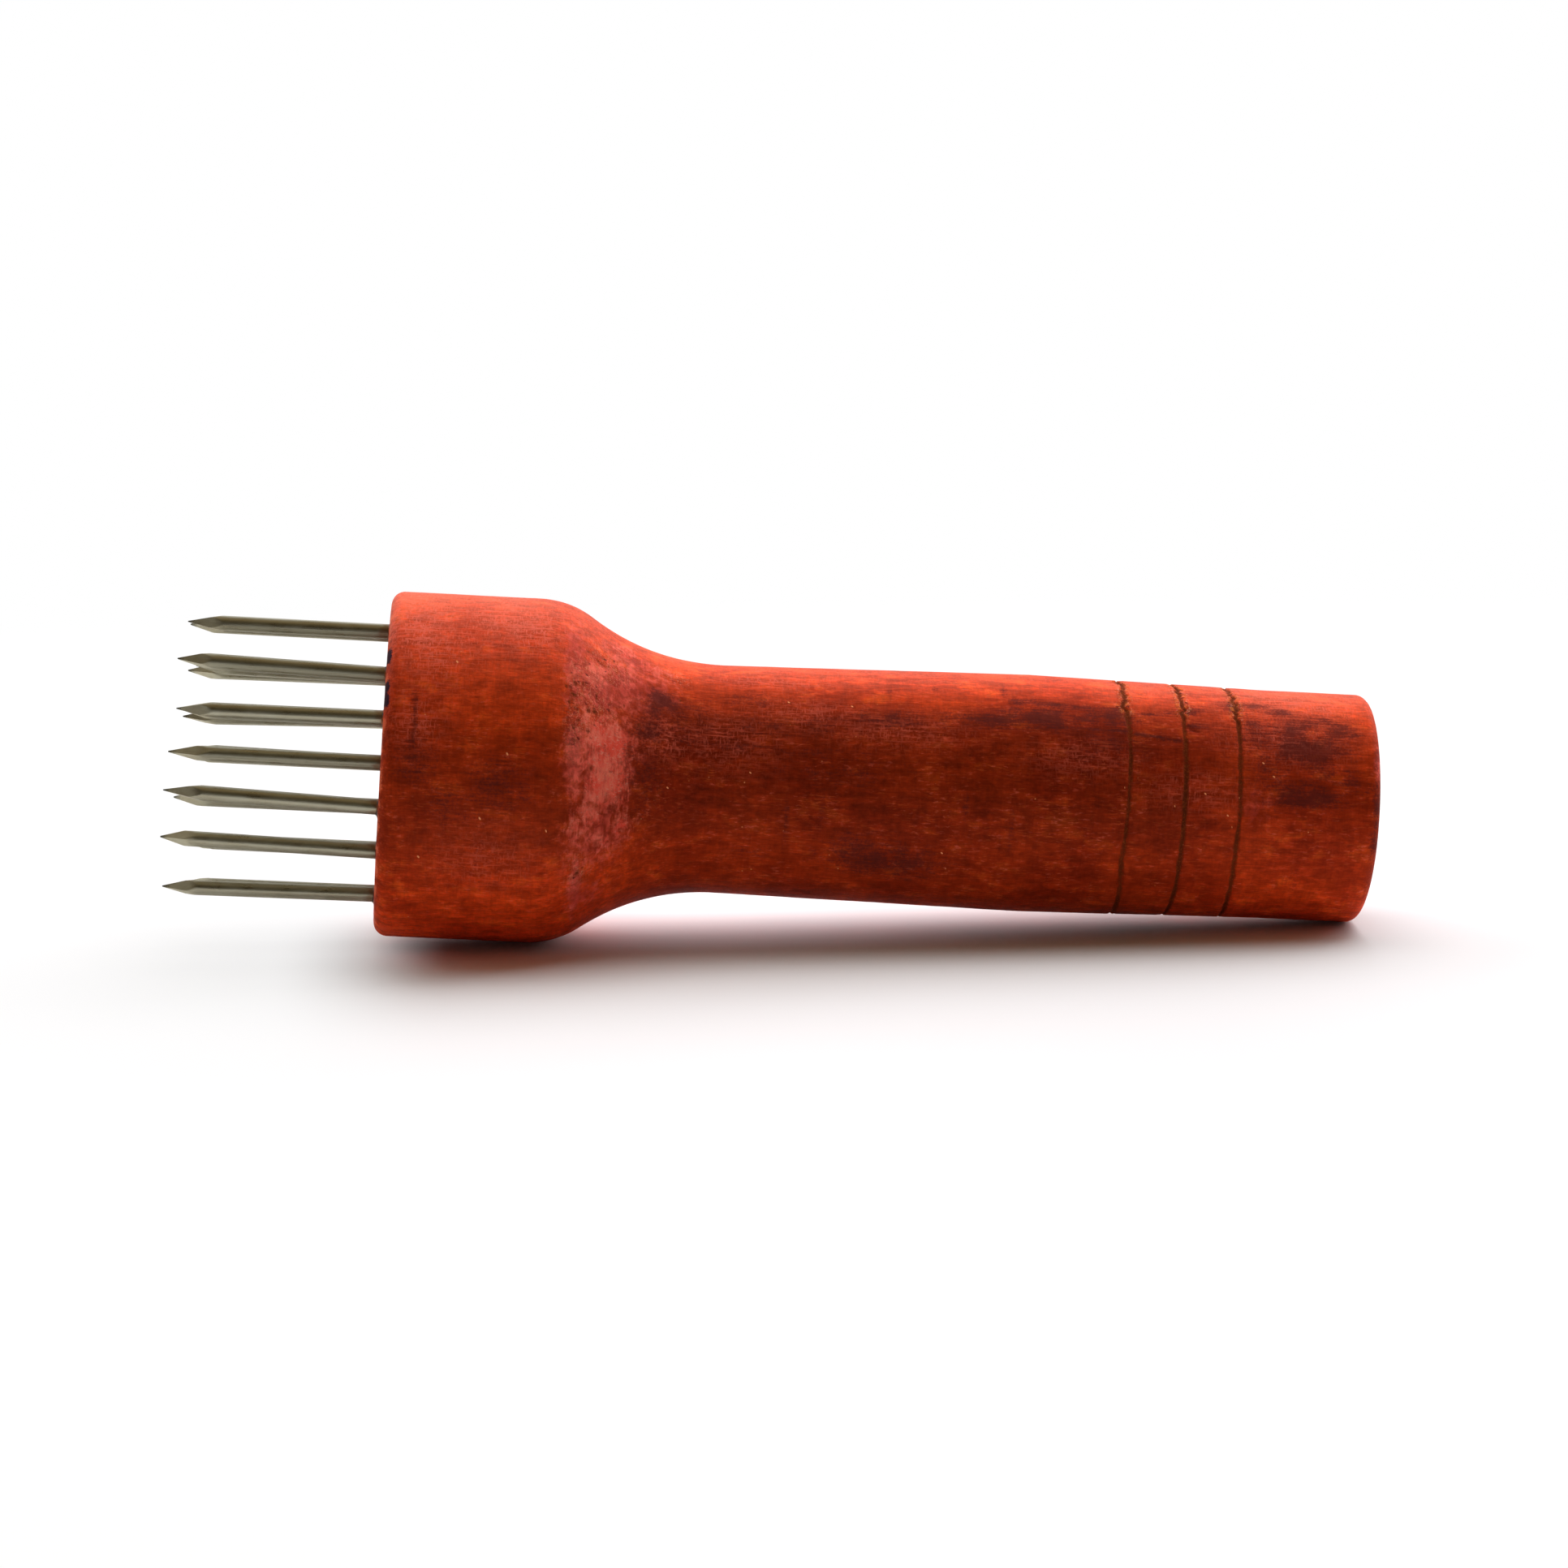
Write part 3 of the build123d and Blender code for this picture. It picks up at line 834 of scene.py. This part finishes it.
# Darker colours for the grooves and pits.
DARK_GROOVE, BROWN_GROOVE = (0.115, 0.021, 0.006), (0.28, 0.052, 0.012)
# Pale worn rims, partly a painted highlight.
WORN_AND_LIT_EDGE = (1.0, 0.19, 0.085)
INK = (0.012, 0.008, 0.024)
END_RING, END_RED = (0.2, 0.016, 0.0045), (0.42, 0.033, 0.008)
DUST = (1.0, 0.36, 0.15)

PITH = (-58.0, 34.0, 0.0)  # where the tree's middle lay, across the tool's axis


def wood_material():
    """Red-stained hardwood: growth lines, fibres, turning marks, scuffs, stains and dark grooves.
    """
    material, n = new_material("stained_wood")
    blotch = n.noise(n.place(), 0.07, 3.0, 0.55)
    cloud = n.grain(0.42, 0.22, 4.0)
    fibre = n.grain(4.2, 0.34, 4.0, 0.62, 0.3)
    flake = n.grain(3.0, 0.95)
    turning = n.grain(0.5, 3.0, distortion=0.3)
    coarse_turning = n.grain(0.16, 0.7)
    mottle = n.grain(0.95, 0.48, 4.0, 0.66, 0.5)
    smear = n.grain(0.9, 1.1, 4.0, distortion=0.6)
    weave = n.grain(1.1, 4.6, 2.0)
    grit = n.noise(n.place(), 3.4, 5.0, 0.72)
    from_pith = n.vector("DISTANCE", n.place(1.0, 0.02), PITH)["Value"]
    wavy = n.add("ShaderNodeCombineXYZ", {0: n.math("MULTIPLY_ADD", cloud, 1.6, from_pith)})[0]
    growth = n.noise(wavy, 1.15, 4.0, 0.6)

    tone = n.mix(n.levels(blotch, 0.36, 0.64), DEEP_RED, BRIGHT_RED)
    tone = n.mix(n.levels(cloud, 0.54, 0.72, 0.0, 0.6), tone, ORANGE)
    light = n.levels(fibre, 0.28, 0.72, 0.91, 1.07)
    for pattern, darkest, lightest in [
        (turning, 0.9, 1.07), (cloud, 0.82, 1.16), (coarse_turning, 0.92, 1.06),
        (mottle, 0.74, 1.22), (growth, 0.84, 1.12), (flake, 0.93, 1.08),
    ]:
        light = n.times(light, n.levels(pattern, 0.3, 0.7, darkest, lightest))
    # The tone mark adds painted shade and painted light round the tool to the wood's darkening.
    tone = n.shaded(tone, n.times(light, n.mark("tone")))

    # Dark open vessels along the grain.
    vessels = n.levels(n.grain(5.6, 0.3, 2.0, 0.5, 0.2), 0.58, 0.68)
    vessels = n.times(vessels, n.levels(mottle, 0.4, 0.6, 0.1, 0.5))
    tone = n.mix(vessels, tone, n.shaded(tone, 0.5))

    # Short bright fibres.
    dashes = n.levels(n.grain(5.2, 0.75, 2.0, 0.5, 0.2), 0.58, 0.7)
    dashes = n.times(dashes, n.levels(cloud, 0.35, 0.62, 0.02, 0.26))
    tone = n.mix(dashes, tone, BRIGHT_FIBRE)

    # A painted sheen on the upper side, palest along the fibres.
    grain = n.most(fibre, n.times(weave, 0.96))
    pale_top_sheen = n.times(n.mark("pale_top_sheen"), n.levels(grain, 0.4, 0.68, 0.18, 0.58))
    tone = n.mix(pale_top_sheen, tone, SHEEN_PINK)

    # Pink flecks where the grain is rubbed, most of them in the cross-hatched places.
    flecks = n.times(n.levels(flake, 0.55, 0.7), n.levels(cloud, 0.4, 0.65, 0.04, 0.4))
    hatch = n.mark("hatch")
    threads = n.most(weave, n.most(flake, fibre))
    hatched = n.times(n.levels(threads, 0.5, 0.68), hatch)
    gaps = n.times(n.levels(threads, 0.36, 0.52, 1.0, 0.0), hatch)
    tone = n.shaded(tone, n.levels(gaps, 0.0, 1.0, 1.0, 0.62))
    flecks = n.most(flecks, n.times(hatched, 0.9))
    tone = n.mix(flecks, tone, PINK_FLECK)

    # Where the stain is rubbed thin the wood is a dull rose, and pale pink where it is scuffed.
    # The rose also paints a highlight on the butt's rim.
    thin = n.levels(n.swayed(n.mark("rubbed"), smear, 0.2), 0.14, 0.92, 0.0, 0.8)
    rose = n.mix(n.levels(cloud, 0.38, 0.62), DULL_ROSE, ROSE)
    rose = n.shaded(rose, n.levels(n.swayed(smear, turning, 0.05), 0.38, 0.62, 0.76, 1.16))
    tone = n.mix(thin, tone, rose)
    scuff = n.mark("scuff")
    scuffed = n.levels(n.swayed(n.swayed(scuff, smear, 0.2, 0.28), turning, 0.13), 0.2, 1.02)
    streak = n.plus(n.times(turning, 0.4), n.times(cloud, 0.6))
    raw = n.mix(n.levels(streak, 0.43, 0.57), SCUFF_RED, SCUFF_PINK)
    glints = n.levels(n.most(grit, flake), 0.56, 0.68, 0.0, 0.75)
    tone = n.painted(tone, scuffed, 0.95, n.mix(glints, raw, SCUFF_GLINT))

    # Dark purple stains soak in along the fibres.
    stain = n.mark("stain")
    soak = n.swayed(n.swayed(n.swayed(stain, mottle, 0.2), fibre, -0.16), grit, 0.22)
    soaked = n.times(n.levels(soak, 0.06, 0.84, 0.0, 0.95), n.levels(stain, 0.03, 0.2))
    tone = n.mix(soaked, tone, n.mix(0.55, n.shaded(tone, 0.42), PURPLE_STAIN))

    # Torn grain shows bright fibres and dark holes.
    torn = n.mark("torn")
    hair = n.math("SUBTRACT", n.grain(2.2, 1.5, 2.0, 0.5, 1.6), 0.5)
    strand = n.levels(n.math("ABSOLUTE", hair), 0.008, 0.04, 1.0, 0.0)
    strand = n.times(strand, n.levels(weave, 0.48, 0.56))
    tone = n.painted(tone, n.times(strand, torn), 0.8, TORN_STRAND)
    ripped = n.times(n.levels(flake, 0.5, 0.6), n.mark("ripped"))
    tone = n.painted(tone, ripped, 0.42, RIPPED_ORANGE)
    holes = n.swayed(n.swayed(n.cells(1.15, 0.9), flake, 0.22), grit, 0.1)
    open_grain = n.levels(n.most(torn, n.times(scuff, 0.45)), 0.15, 0.6)
    holes = n.times(n.levels(holes, 0.06, 0.18, 1.0, 0.0), open_grain)
    tone = n.painted(tone, holes, 0.85, OPEN_HOLE)

    # Darker in the grooves and pits, wear and a painted highlight along the rims, and a few
    # smears of ink.
    groove_dark_tone = n.mix(n.levels(grit, 0.48, 0.66), DARK_GROOVE, BROWN_GROOVE)
    groove_dark = n.levels(n.swayed(n.mark("groove"), grit, 0.3), 0.14, 0.88)
    worn_and_lit = n.levels(n.swayed(n.mark("wear_and_highlight"), grit, 0.2), 0.45, 0.85)
    inked = n.levels(n.swayed(n.mark("ink"), grit, 0.25), 0.4, 0.6)
    tone = n.painted(tone, groove_dark, 0.95, groove_dark_tone)
    tone = n.painted(tone, worn_and_lit, 0.65, WORN_AND_LIT_EDGE)
    tone = n.painted(tone, inked, 0.95, INK)

    # The end grain is darker, with rings and open pores.
    rings = n.noise(wavy, 2.4, 2.0, 0.5)
    cut = n.mix(n.levels(rings, 0.34, 0.66), END_RING, END_RED)
    cut = n.shaded(cut, n.levels(n.grain(6.0, 6.0, 2.0, 0.5), 0.3, 0.48, 0.45, 1.0))
    tone = n.mix(n.mark("end_grain"), tone, cut)

    # Pale specks of dust, a few big ones by place and many tiny ones.
    tiny = n.levels(n.cells(0.55, 0.55), 0.035, 0.075, 1.0, 0.0)
    tiny = n.times(tiny, n.levels(cloud, 0.54, 0.62, 0.0, 0.6))
    tone = n.mix(n.most(n.levels(n.mark("speck"), 0.45, 0.75), tiny), tone, DUST)

    rough = n.levels(grit, 0.25, 0.75, 0.44, 0.62)
    rough = n.plus(rough, n.times(scuffed, 0.18))
    rough = n.math("MINIMUM", n.plus(rough, n.times(groove_dark, 0.25)), 1.0)
    relief = n.plus(n.times(fibre, 0.8), n.times(turning, 0.5))
    grit_relief = n.levels(n.most(torn, scuff), 0.1, 0.7, 0.25, 4.0)
    relief = n.plus(relief, n.times(grit, grit_relief))
    n.surface("ShaderNodeBsdfPrincipled", {
        "Base Color": tone, "Roughness": rough, "Specular IOR Level": 0.04,
        "Normal": n.bump(relief, 0.00006, 0.8),
    })
    return material


YELLOW_STEEL, GREY_STEEL = (0.39, 0.365, 0.272), (0.465, 0.452, 0.358)
STEEL_LINE = (0.24, 0.21, 0.155)
BLACK_POINT = (0.085, 0.09, 0.08)
RUST = (0.26, 0.115, 0.045)
STEEL_PIT = (0.1, 0.085, 0.06)


def steel_material():
    """Drawn steel wire: tarnish, scratches, darkened points and a little rust at the roots."""
    material, n = new_material("needle_steel")
    scratch = n.grain(9.0, 0.16, 4.0, 0.65)
    long_mark = n.grain(3.2, 0.05)
    cloud = n.grain(0.9, 0.3, 4.0)
    grit = n.noise(n.place(), 6.0, 4.0, 0.7)
    from_tip = n.mark("from_tip")
    tone = n.mix(n.levels(cloud, 0.34, 0.66), YELLOW_STEEL, GREY_STEEL)
    tone = n.mix(n.levels(long_mark, 0.52, 0.72, 0.0, 0.4), tone, STEEL_LINE)
    tone = n.shaded(tone, n.levels(scratch, 0.3, 0.7, 0.96, 1.04))
    tone = n.shaded(tone, n.levels(from_tip, 3.2, 4.8, 1.4, 1.0))
    blackened = n.math("SUBTRACT", n.levels(grit, 0.3, 0.7, 0.3, 0.9), from_tip)
    tone = n.mix(n.levels(blackened, -0.5, 0.6, 0.0, 0.85), tone, BLACK_POINT)
    rust = n.math("SUBTRACT", n.levels(cloud, 0.35, 0.65, 0.2, 1.6), n.mark("from_face"))
    tone = n.mix(n.levels(rust, -0.3, 0.9, 0.0, 0.55), tone, RUST)
    tone = n.painted(tone, n.levels(grit, 0.66, 0.74), 0.2, STEEL_PIT)
    rough = n.levels(cloud, 0.3, 0.7, 0.24, 0.38)
    rough = n.plus(rough, n.times(n.levels(scratch, 0.4, 0.7), 0.08))
    rough = n.plus(rough, n.levels(from_tip, 3.6, 4.8, 0.28, 0.0))
    relief = n.plus(scratch, n.times(grit, 0.1))
    n.surface("ShaderNodeBsdfPrincipled", {
        "Base Color": tone, "Metallic": 1.0, "Roughness": rough,
        "Normal": n.bump(relief, 0.000003, 0.15),
    })
    return material


DIRTY_GLUE, AMBER_GLUE = (0.035, 0.014, 0.008), (0.5, 0.13, 0.025)


def glue_material():
    """Old glue, amber where it is thin and nearly black where grime has settled."""
    material, n = new_material("old_glue")
    cloud = n.noise(n.place(), 0.8, 4.0, 0.6)
    grit = n.noise(n.place(), 4.0, 3.0, 0.6)
    tone = n.mix(n.levels(cloud, 0.42, 0.6), DIRTY_GLUE, AMBER_GLUE)
    n.surface("ShaderNodeBsdfPrincipled", {
        "Base Color": n.shaded(tone, n.levels(grit, 0.3, 0.7, 0.75, 1.15)), "IOR": 1.48,
        "Roughness": n.levels(grit, 0.3, 0.7, 0.22, 0.45), "Normal": n.bump(grit, 0.00003, 0.5),
    })
    return material


# ---------- studio
def make_camera():
    """The camera at the photograph's place."""
    data = bpy.data.cameras.new("camera")
    data.lens = CAMERA_LENS
    data.sensor_width = 36.0
    data.clip_start = 0.05
    data.clip_end = 20.0
    camera = add_object("camera", data)
    azimuth, elevation, roll = (radians(angle) for angle in CAMERA_DEGREES)
    back = Vector((sin(azimuth) * cos(elevation), -cos(azimuth) * cos(elevation), sin(elevation)))
    right = Vector((cos(azimuth), sin(azimuth), 0.0))
    up = back.cross(right)
    rolled_right = right * cos(roll) + up * sin(roll)
    rolled_up = up * cos(roll) - right * sin(roll)
    turned = Matrix((rolled_right, rolled_up, back)).transposed().to_4x4()
    camera.matrix_world = Matrix.Translation(CAMERA_TARGET + back * CAMERA_DISTANCE) @ turned
    bpy.context.scene.camera = camera


LAMP_DISTANCE = 0.5
LAMP_BEHIND = radians(16.0)
LAMP_ASIDE = radians(14.0)
LAMP_SIZE = (0.46, 0.44)
LAMP_POWER = 2.2


def hang_lamp():
    """One soft box above the tool, a little behind it and towards its butt."""
    data = bpy.data.lights.new("soft_box", "AREA")
    data.shape = "RECTANGLE"
    data.size, data.size_y = LAMP_SIZE
    data.energy = LAMP_POWER
    lamp = add_object("soft_box", data)
    lamp.visible_glossy = False
    towards = Vector((tan(LAMP_ASIDE), sin(LAMP_BEHIND), cos(LAMP_BEHIND))).normalized()
    lamp.location = towards * LAMP_DISTANCE
    lamp.rotation_euler = (-lamp.location).to_track_quat("-Z", "Y").to_euler()


WINDOW_STRENGTH = 2.5
# The dim room in front of the tool, from straight ahead to straight up.
ROOM_AHEAD, ROOM_TOP = (0.36, 0.34, 0.31), (0.35, 0.265, 0.145)
ROOM_BETWEEN = [(0.2, (0.05, 0.042, 0.028)), (0.77, (0.13, 0.1, 0.055))]


def make_room():
    """White to the camera, and behind the tool in its mirrored light too. The tool is lit by a
    bright, low window wall behind it and by a dim room in front."""
    world = bpy.data.worlds.new("room")
    world.use_nodes = True
    bpy.context.scene.world = world
    n = Nodes(world.node_tree)

    def shine(colour, strength=1.0):
        return n.add("ShaderNodeBackground", {"Color": colour, "Strength": strength})[0]

    direction = n.add("ShaderNodeTexCoord")["Generated"]
    parts = n.add("ShaderNodeSeparateXYZ", {"Vector": direction})
    front = n.add("ShaderNodeValToRGB", {"Fac": parts["Z"]})["Color"]
    stops = front.node.color_ramp.elements
    for position, colour in ROOM_BETWEEN:
        stops.new(position).color = (*colour, 1.0)
    stops[0].color, stops[-1].color = (*ROOM_AHEAD, 1.0), (*ROOM_TOP, 1.0)
    behind = n.levels(parts["Y"], -0.05, 0.45)
    above_sill = n.levels(parts["Z"], 0.04, 0.22, 0.05, 1.0)
    below_lintel = n.levels(parts["Z"], 0.68, 0.82, 1.0, 0.06)
    glass = n.times(n.times(behind, above_sill), below_lintel)
    window = shine(WHITE, WINDOW_STRENGTH)
    room = n.add("ShaderNodeMixShader", {0: glass, 1: shine(front), 2: window})
    path = n.add("ShaderNodeLightPath")
    by_mirror = n.most(path["Is Glossy Ray"], path["Is Transmission Ray"])
    mirrored = n.times(n.times(behind, n.levels(parts["Z"], 0.6, 1.0, 1.0, 0.0)), by_mirror)
    backdrop = n.most(path["Is Camera Ray"], mirrored)
    mixed = n.add("ShaderNodeMixShader", {0: backdrop, 1: room[0], 2: shine(WHITE)})
    n.add("ShaderNodeOutputWorld", {"Surface": mixed[0]})


FLOOR_HALF = 6.0
# The floor is lit paper under the tool and in front of it, and turns plain white to the
# camera further out: half sizes of that patch, its middle, and where the change starts and ends.
SHADOW_PATCH = (0.09, 0.06)
SHADOW_MIDDLE = (0.016, -0.012, 0.0)
SHADOW_FADE = (1.15, 2.8)
SHADOW_WHITENED = 0.8
# Painted light: the floor is painted white over the needles' shadow, which leaves it faint.
NEEDLES_WHITENED = (-0.066, -0.042)  # the needles' own shadow is faint
# Painted shade: the paper the camera sees near the tool is greyer towards the butt, which deepens
# the shadow there.
HEAD_PAPER_SHADE, BUTT_PAPER_SHADE = (0.88, 0.868, 0.905), (0.82, 0.808, 0.843)
PAPER_TURNS = (-0.01, 0.06)
# What the tool sees of the floor: pale close by, dim further off in front of it.
NEAR_LIGHT, FAR_LIGHT = (0.8, 0.8, 0.8), (0.08, 0.075, 0.065)


def lay_floor():
    """A pale floor that takes the tool's shadow, and far off is plain white to the camera."""
    mesh = bpy.data.meshes.new("floor")
    corners = [(x * FLOOR_HALF, y * FLOOR_HALF, 0) for x, y in ((-1, -1), (1, -1), (1, 1), (-1, 1))]
    mesh.from_pydata(corners, [], [(0, 1, 2, 3)])
    floor = add_object("floor", mesh)
    material, n = new_material("floor")
    seen = n.add("ShaderNodeLightPath")["Is Camera Ray"]
    where = n.add("ShaderNodeTexCoord")["Object"]
    parts = n.add("ShaderNodeSeparateXYZ", {0: where})
    off = n.vector("SUBTRACT", where, SHADOW_MIDDLE)[0]
    off = n.vector("MULTIPLY", off, (1 / SHADOW_PATCH[0], 1 / SHADOW_PATCH[1], 1.0))[0]
    away = n.vector("LENGTH", off)["Value"]
    near = n.levels(away, *SHADOW_FADE, 0.0, SHADOW_WHITENED)
    far = n.most(near, n.levels(away, SHADOW_FADE[1], SHADOW_FADE[1] * 2.0))
    # painted light over the needles' shadow
    far = n.most(far, n.levels(parts["X"], *NEEDLES_WHITENED, 0.78, 0.0))
    around = n.vector("LENGTH", n.vector("MULTIPLY", where, (0.5, 1.0, 1.0))[0])["Value"]
    in_front = n.levels(parts["Y"], -0.05, 0.1, 1.0, 0.0)
    dim = n.times(n.levels(around, 0.05, 0.22), in_front)
    # painted shade: greyer paper towards the butt
    paper_shade = n.mix(n.levels(parts["X"], *PAPER_TURNS), HEAD_PAPER_SHADE, BUTT_PAPER_SHADE)
    tone = n.mix(seen, n.mix(dim, NEAR_LIGHT, FAR_LIGHT), n.mix(near, paper_shade, WHITE))
    paper = n.add("ShaderNodeBsdfDiffuse", {"Color": tone})
    plain = n.add("ShaderNodeEmission", {"Color": WHITE, "Strength": 1.0})
    beyond = n.times(far, seen)
    n.surface("ShaderNodeMixShader", {0: beyond, 1: paper[0], 2: plain[0]})
    mesh.materials.append(material)


make_camera()
hang_lamp()
make_room()
lay_floor()
make_handle(wood_material())
steel_wire = steel_material()
for needle_number, needle_seat in enumerate(needle_seats(), start=1):
    make_needle(needle_number, needle_seat, steel_wire)
make_glue(glue_material())
bpy.context.scene.view_settings.view_transform = "Standard"
